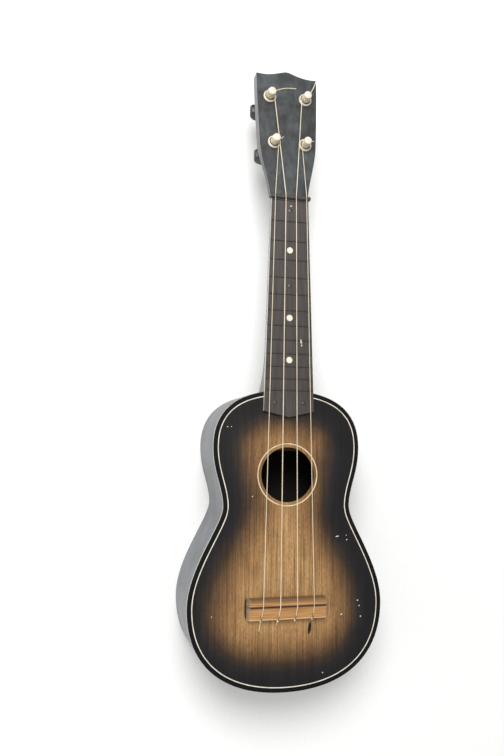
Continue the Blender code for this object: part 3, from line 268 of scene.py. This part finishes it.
def blackLacquer(name, look):
    # black spray lacquer on wood: near black, lighter cool patches that are partly haze and partly painted
    # sheen, and fine rubbing marks along the grain
    material, tree, shader, place = startMaterial(name, look["roughness"], 1.5)
    hazeAndSheen = addNode(tree, "ShaderNodeTexNoise", {
        "Vector": stretched(tree, place, (look["hazeAndSheenMm"],) * 3), "Scale": 1, "Detail": 3})
    scratch = addNode(tree, "ShaderNodeTexNoise", {
        "Vector": stretched(tree, place, look["scratchMm"]), "Scale": 1, "Detail": 6, "Roughness": 0.7})
    mixed = addNode(tree, "ShaderNodeMath", {
        ".operation": "MULTIPLY", 0: hazeAndSheen.outputs[0], 1: scratch.outputs[0]})
    # the lighter cool tone stands for haze and for painted sheen: reflections painted into the base colour
    tone = addNode(tree, "ShaderNodeValToRGB", {
        "Fac": mixed.outputs[0], "stops": [(0.15, look["color"]), (0.42, look["hazeAndSheen"])]})
    shown = tone.outputs[0]
    # the sides' top edge is painted light: a painted highlight where the rounded edge would catch the light
    if "paintedEdgeHighlight" in look:
        height = addNode(tree, "ShaderNodeSeparateXYZ", {0: place}).outputs["Z"]
        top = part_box("soundboard")[0].z
        wide = look["paintedEdgeHighlightMm"] * mm
        edgeHighlightMask = addNode(tree, "ShaderNodeMapRange", {
            "Value": height, "From Min": top - 1.6 * wide, "From Max": top - wide,
            "To Min": 0.0, "To Max": 0.9})
        shown = addNode(tree, "ShaderNodeMix", {
            ".data_type": "RGBA", 0: edgeHighlightMask.outputs[0], 6: shown, 7: hexColor(look["paintedEdgeHighlight"])}).outputs[2]
    tree.links.new(shown, shader.inputs["Base Color"])
    shader.inputs["Coat Weight"].default_value = look["coat"]
    shader.inputs["Coat Roughness"].default_value = 0.25
    shader.inputs["Specular IOR Level"].default_value = 0.5 if look["coat"] else 0.15
    gloss = addNode(tree, "ShaderNodeMapRange", {
        "Value": scratch.outputs[0], "To Min": look["roughness"] - 0.07, "To Max": look["roughness"] + 0.16})
    tree.links.new(gloss.outputs[0], shader.inputs["Roughness"])
    height = addNode(tree, "ShaderNodeBump", {
        "Height": scratch.outputs[0], "Strength": 0.25, "Distance": 0.1 * mm})
    tree.links.new(height.outputs[0], shader.inputs["Normal"])
    return material


def grained(name, look, first, second):
    # a streaked material: wood grain, or flow lines in moulded plastic
    material, tree, shader, place = startMaterial(name, look["roughness"], 1.5)
    sizes = look.get("grainMm") or look["streakMm"]
    streak = addNode(tree, "ShaderNodeTexNoise", {
        "Vector": stretched(tree, place, sizes), "Scale": 1,
        "Detail": 5, "Roughness": 0.6, "Distortion": 0.3})
    tone = addNode(tree, "ShaderNodeValToRGB", {
        "Fac": streak.outputs[0], "stops": [(0.32, look[first]), (0.68, look[second])]})
    shown = tone.outputs[0]
    if "lightMarks" in look:
        shown = addMarks(tree, place, shown, look["lightMarks"], look["chip"])
    if "paintedStepShadow" in look:
        shown = bridgeShading(tree, place, shown, look)
    tree.links.new(shown, shader.inputs["Base Color"])
    gloss = addNode(tree, "ShaderNodeMapRange", {
        "Value": streak.outputs[0], "To Min": look["roughness"] - 0.08, "To Max": look["roughness"] + 0.1})
    tree.links.new(gloss.outputs[0], shader.inputs["Roughness"])
    height = addNode(tree, "ShaderNodeBump", {
        "Height": streak.outputs[0], "Strength": 0.3, "Distance": 0.15 * mm})
    tree.links.new(height.outputs[0], shader.inputs["Normal"])
    return material


def bridgeShading(tree, place, base, look):
    # painted shadow along the foot of the saddle ridge, painted shade on the ridge's front, a painted
    # highlight along the rounded rear edge, and ends painted lighter for worn lacquer and a painted highlight
    low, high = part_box("bridge")
    parts = addNode(tree, "ShaderNodeSeparateXYZ", {0: place})
    ridgeFoot = low.y + look["deckMm"] * mm
    # a dark red line where the ridge steps down to the deck: painted shadow
    offset = addNode(tree, "ShaderNodeMath", {
        ".operation": "SUBTRACT", 0: parts.outputs["Y"], 1: ridgeFoot})
    near = addNode(tree, "ShaderNodeMath", {".operation": "ABSOLUTE", 0: offset.outputs[0]})
    line = addNode(tree, "ShaderNodeMapRange", {
        "Value": near.outputs[0], "From Min": 0.6 * mm, "From Max": 1.5 * mm, "To Min": 0.95, "To Max": 0.0})
    lined = addNode(tree, "ShaderNodeMix", {
        ".data_type": "RGBA", 0: line.outputs[0], 6: base, 7: hexColor(look["paintedStepShadow"])})
    # the front of the ridge darker brown: painted shade
    front = addNode(tree, "ShaderNodeMapRange", {
        "Value": parts.outputs["Y"], "From Min": ridgeFoot + 2.2 * mm, "From Max": ridgeFoot + 5 * mm,
        "To Min": 0.0, "To Max": 0.85})
    shaded = addNode(tree, "ShaderNodeMix", {
        ".data_type": "RGBA", 0: front.outputs[0], 6: lined.outputs[2], 7: hexColor(look["front"])})
    # a light line along the rounded rear edge: painted highlight
    rear = addNode(tree, "ShaderNodeMapRange", {
        "Value": parts.outputs["Y"], "From Min": low.y + 0.7 * mm, "From Max": low.y + 1.2 * mm,
        "To Min": 0.8, "To Max": 0.0})
    shaded = addNode(tree, "ShaderNodeMix", {
        ".data_type": "RGBA", 0: rear.outputs[0], 6: shaded.outputs[2], 7: hexColor(look["paintedRearHighlight"])})
    # both ends lighter: worn lacquer and a painted highlight on the end faces
    middle = (low.x + high.x) / 2
    across = addNode(tree, "ShaderNodeMath", {".operation": "SUBTRACT", 0: parts.outputs["X"], 1: middle})
    outward = addNode(tree, "ShaderNodeMath", {".operation": "ABSOLUTE", 0: across.outputs[0]})
    end = high.x - middle
    wornAndHighlight = addNode(tree, "ShaderNodeMapRange", {
        "Value": outward.outputs[0], "From Min": end - 2.4 * mm, "From Max": end - 1.2 * mm,
        "To Min": 0.0, "To Max": 0.6})
    return addNode(tree, "ShaderNodeMix", {
        ".data_type": "RGBA", 0: wornAndHighlight.outputs[0],
        6: shaded.outputs[2], 7: hexColor(look["endWearAndHighlight"])}).outputs[2]


def mottled(name, look, second, metallic=0.0):
    # smooth moulded or drawn stock with uneven ageing; for the collar's dish the darker tones are painted
    # shade
    material, tree, shader, place = startMaterial(name, look["roughness"], 1.5 if metallic == 0 else 1.45)
    shader.inputs["Metallic"].default_value = metallic
    patch = addNode(tree, "ShaderNodeTexNoise", {
        "Vector": stretched(tree, place, (look["patchMm"],) * 3), "Scale": 1, "Detail": 4, "Roughness": 0.6})
    tone = addNode(tree, "ShaderNodeValToRGB", {
        "Fac": patch.outputs[0], "stops": [(0.42, look["color"]), (0.78, look[second])]})
    tree.links.new(tone.outputs[0], shader.inputs["Base Color"])
    gloss = addNode(tree, "ShaderNodeMapRange", {
        "Value": patch.outputs[0], "To Min": look["roughness"] - 0.06, "To Max": look["roughness"] + 0.12})
    tree.links.new(gloss.outputs[0], shader.inputs["Roughness"])
    return material


finishes = {
    "sunburst_lacquer": sunburstLacquer(topLook),
    "black_lacquer": blackLacquer("blackLacquerOnWood", blackLook),
    "bare_wood": grained("bareSpruce", bareLook, "dark", "color"),
    "brown_plastic": grained("mouldedBrownStyrene", boardLook, "color", "wornAndHighlight"),
    "cream_plastic": mottled("creamStyrene", creamLook, "agedAndShaded"),
    "black_plastic": mottled("blackStyrene", buttonLook, "agedAndShaded"),
    "nylon": mottled("extrudedNylon", stringLook, "agedAndShaded"),
    "steel": mottled("dulledSteel", steelLook, "rust", 1.0),
    "bridge_wood": grained("lacqueredMaple", bridgeLook, "dark", "color"),
}
inlayFinishes = {
    "purfling_line": mottled("creamInlayLine", lineLook, "agedAndShaded"),
    "soundhole_ring": mottled("paleWoodRing", ringLook, "agedAndShaded"),
}
sideFinish = blackLacquer("blackLacquerOnSides", sideLook)
bandFinish = blackLacquer("blackBindingStrip", bandLook)
boardEdgeHighlightFinish = grained("styreneEdgePaintedHighlight", boardEdgeHighlightLook, "color", "wornAndHighlight")
dishShadeFinish = mottled("creamStyrenePaintedShade", dishShadeLook, "agedAndShaded")
insidePaintedShade = grained("bareWoodPaintedShade", insideShadeLook, "dark", "color")
print("finishes made")


# Pieces: each one takes the place of its CAD node, with smooth shading, and rounded edges where its look asks
# for them

pieceLook = {
    "soundboard": {"grid": 4 * mm},
    "rib_left": {"grid": 4 * mm, "close": True}, "rib_right": {"grid": 4 * mm, "close": True},
    "back_plate": {"grid": 4 * mm}, "purfling_line": {"grid": 4 * mm},
    "bridge": {"round": 0.35 * mm},
    "neck": {"angle": 30},
    "fingerboard": {"angle": 30},
}


def outlineSpans():
    # the back's outer edge in order, each stretch with how far the real curve bows outwards from it
    bm = bmesh.new()
    bm.from_mesh(nodes["back_plate"].data)
    bmesh.ops.remove_doubles(bm, verts=bm.verts, dist=1e-6)
    low = min(v.co.z for v in bm.verts)
    rim = {}
    for face in bm.faces:
        if face.normal.z > -0.5:
            continue
        for loop in face.loops:  # the underside runs clockwise seen from above
            if abs(loop.link_loop_radial_next.face.normal.z) < 0.5:
                rim[loop.link_loop_next.vert] = loop.vert
    start = min(rim, key=lambda v: v.co.y)
    ring = [start]
    while rim[ring[-1]] is not start:
        ring.append(rim[ring[-1]])
    points = [v.co.to_2d() for v in ring]
    bm.free()
    runs = [points[(i + 1) % len(points)] - points[i] for i in range(len(points))]
    turns = [math.atan2(runs[i - 1].cross(runs[i]), runs[i - 1].dot(runs[i])) for i in range(len(points))]
    spans = []
    for i, run in enumerate(runs):
        bow = run.length * (turns[i] + turns[(i + 1) % len(points)]) / 16
        spans.append((points[i], run, Vector((run.y, -run.x)).normalized() * bow))
    return spans


def nearOutline(point):
    # how far a point lies from the outline, and how far the curve there lies outside the straight stretch
    best, push = 1.0, Vector((0, 0))
    for start, run, bow in bodyOutline:
        share = max(0, min(1, (point - start).dot(run) / run.length_squared))
        away = (point - start - run * share).length
        if away < best:
            best, push = away, bow * 4 * share * (1 - share)
    return best, push


bodyOutline = outlineSpans()
curveFade = {"from": 6 * mm, "to": 14 * mm}


def restyle(nodeName):
    look = pieceLook.get(nodeName, {})
    source = nodes[nodeName]
    mesh = source.data.copy()
    mesh.materials.clear()
    if "custom_normal" in mesh.attributes:
        mesh.attributes.remove(mesh.attributes["custom_normal"])
    bm = bmesh.new()
    bm.from_mesh(mesh)
    bmesh.ops.remove_doubles(bm, verts=bm.verts, dist=1e-6)
    if look.get("close"):  # the glue gaps between side, top and back don't show on the real one
        top = min(v.co.z for v in nodes["soundboard"].data.vertices)
        bottom = max(v.co.z for v in nodes["back_plate"].data.vertices)
        high, low = max(v.co.z for v in bm.verts), min(v.co.z for v in bm.verts)
        for v in bm.verts:
            if abs(v.co.z - high) < 1e-5:
                v.co.z = top
            if abs(v.co.z - low) < 1e-5:
                v.co.z = bottom
            if abs(v.co.x) < 0.2 * mm:
                v.co.x = 0
    if "grid" in look:
        lowest = Vector(map(min, *[v.co for v in bm.verts]))
        highest = Vector(map(max, *[v.co for v in bm.verts]))
        for axis in (0, 1):
            normal = Vector((axis == 0, axis == 1, 0))
            for i in range(1, int((highest[axis] - lowest[axis]) / look["grid"])):
                cut = lowest + normal * look["grid"] * i
                everything = bm.verts[:] + bm.edges[:] + bm.faces[:]
                bmesh.ops.bisect_plane(bm, geom=everything, plane_co=cut, plane_no=normal)
        for v in bm.verts:  # the outline's straight stretches take the real curve
            away, push = nearOutline(v.co.to_2d())
            push *= max(0, min(1, (curveFade["to"] - away) / (curveFade["to"] - curveFade["from"])))
            v.co += push.to_3d()
    elif look.get("round"):
        bmesh.ops.dissolve_limit(bm, angle_limit=math.radians(0.5), verts=bm.verts, edges=bm.edges)
    bm.to_mesh(mesh)
    bm.free()
    piece = bpy.data.objects.new(nodeName + "Piece", mesh)
    bpy.context.scene.collection.objects.link(piece)
    piece.matrix_world = source.matrix_world
    mesh.shade_smooth()
    mesh.set_sharp_from_angle(angle=math.radians(look.get("angle", 35)))
    if look.get("round"):
        rounding = piece.modifiers.new("rounding", "BEVEL")
        rounding.width = look["round"]
        rounding.segments = 3
        rounding.limit_method = "ANGLE"
        rounding.angle_limit = math.radians(35)
        rounding.harden_normals = True
    if nodeName == "soundboard":
        values = mesh.attributes.new("fromEdge", "FLOAT", "POINT")
        for i, v in enumerate(mesh.vertices):
            away = nearOutline(v.co.to_2d())[0] / mm
            values.data[i].value = away - topLook["lean"] * v.co.x / mm * min(1, away / 10)
    slotName = slotOfNode[nodeName]
    mesh.materials.append(inlayFinishes.get(nodeName, finishes[slotName]))
    if nodeName == "soundboard":
        mesh.materials.append(bandFinish)
        # the underside faces take the painted shade of the body's inside
        mesh.materials.append(insidePaintedShade)
        for face in mesh.polygons:
            away = nearOutline(face.center.to_2d())[0] / mm
            face.material_index = 2 if face.normal.z < -0.5 else 1 if away < topLook["bandMm"] else 0
    elif nodeName in ("rib_left", "rib_right", "back_plate"):
        mesh.materials.clear()
        mesh.materials.append(sideFinish)
        # faces inside the body take the painted shade
        mesh.materials.append(insidePaintedShade)
        for face in mesh.polygons:
            inward = nearOutline(face.center.to_2d())[0] > 1.2 * mm
            hidden = face.normal.z > 0.5 if nodeName == "back_plate" else inward
            face.material_index = 1 if hidden else 0
    elif nodeName == "fingerboard":
        # the board's side faces get the painted highlight
        mesh.materials.append(boardEdgeHighlightFinish)
        for face in mesh.polygons:
            face.material_index = 1 if abs(face.normal.x) > 0.9 and face.area > 20 * mm * mm else 0
    elif nodeName.endswith("_collar"):  # the collar's dish, round the post, is painted darker: painted shade in the hollow
        mesh.materials.append(dishShadeFinish)
        corners = [v.co for v in mesh.vertices]
        middle = sum(corners, Vector()) / len(corners)
        for face in mesh.polygons:
            outward = (face.center - middle).to_2d()
            inward = face.normal.to_2d().dot(outward.normalized()) < -0.1
            inside = outward.length < dishShadeLook["insideMm"] * mm
            face.material_index = 1 if inward or inside else 0
    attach(piece, bodyOfNode[nodeName])
    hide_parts(nodeName)
    return piece


pieces = {name: restyle(name) for name in sorted(nodes)}
print(len(pieces), "pieces made")


# Floor, light and camera

floorLook = {"color": "#f4f4f2", "fibre": "#f1f1ef", "size": 6}
lightLook = {
    "sky": 0.62,
    "overhead": {"at": (-0.35, 0.75, 1.35), "size": 0.9, "watts": 22},
    "fromLeft": {"at": (-1.5, -0.2, 0.35), "size": 1.0, "watts": 7},
}

floorMesh = bpy.data.meshes.new("floor")
half = floorLook["size"] / 2
corners = [(-half, -half, 0), (half, -half, 0), (half, half, 0), (-half, half, 0)]
floorMesh.from_pydata(corners, [], [(0, 1, 2, 3)])
floor = bpy.data.objects.new("floor", floorMesh)
bpy.context.scene.collection.objects.link(floor)
floorFinish, floorTree, floorShader, floorPlace = startMaterial("paleMattePaper", 0.9, 1.4)
fibre = addNode(floorTree, "ShaderNodeTexNoise", {
    "Vector": stretched(floorTree, floorPlace, (3, 3, 3)), "Scale": 1, "Detail": 2})
paper = addNode(floorTree, "ShaderNodeValToRGB", {
    "Fac": fibre.outputs[0], "stops": [(0.3, floorLook["fibre"]), (0.7, floorLook["color"])]})
floorTree.links.new(paper.outputs[0], floorShader.inputs["Base Color"])
floorMesh.materials.append(floorFinish)
floor.location.z = cadBounds[0].z - 0.2 * mm

world = bpy.data.worlds.new("softRoom")
bpy.context.scene.world = world
world.use_nodes = True
world.node_tree.nodes["Background"].inputs["Color"].default_value = hexColor("#ffffff")
world.node_tree.nodes["Background"].inputs["Strength"].default_value = lightLook["sky"]
for name in ("overhead", "fromLeft"):
    look = lightLook[name]
    lamp = bpy.data.lights.new(name, "AREA")
    lamp.shape = "DISK"
    lamp.size = look["size"]
    lamp.energy = look["watts"]
    holder = bpy.data.objects.new(name, lamp)
    bpy.context.scene.collection.objects.link(holder)
    holder.location = look["at"]
    aim = Vector((0, -0.05, 0.04)) - holder.location
    holder.rotation_euler = aim.to_track_quat("-Z", "Y").to_euler()

cameraLook = {
    # turned to the left and a little up, from about 0.6 m
    "turn": math.radians(14.26),
    "tilt": math.radians(-5.67),
    "roll": math.radians(-0.61),
    "offset": Vector((28.9, -174.78, -576.77)) * mm,
    "focalPixels": 700,
    "imageHeight": 756,
}
turning = (
    Matrix.Rotation(cameraLook["roll"], 3, "Z")
    @ Matrix.Rotation(cameraLook["tilt"], 3, "X")
    @ Matrix.Rotation(cameraLook["turn"], 3, "Y")
)
octavePoint = Vector((0, -186.42 * mm, 62 * mm))  # where the fitted camera's own numbers start
eye = bpy.data.cameras.new("photoView")
eye.sensor_fit = "VERTICAL"
eye.sensor_height = 36
eye.lens = 36 * cameraLook["focalPixels"] / cameraLook["imageHeight"]
eye.clip_start = 0.02
eyeHolder = bpy.data.objects.new("photoView", eye)
bpy.context.scene.collection.objects.link(eyeHolder)
backwards = turning.transposed()
eyePlace = octavePoint - backwards @ cameraLook["offset"]
eyeHolder.matrix_world = Matrix.Translation(eyePlace) @ backwards.to_4x4()
bpy.context.scene.camera = eyeHolder
bpy.context.scene.view_settings.view_transform = "Standard"
print("stage, light and camera set")
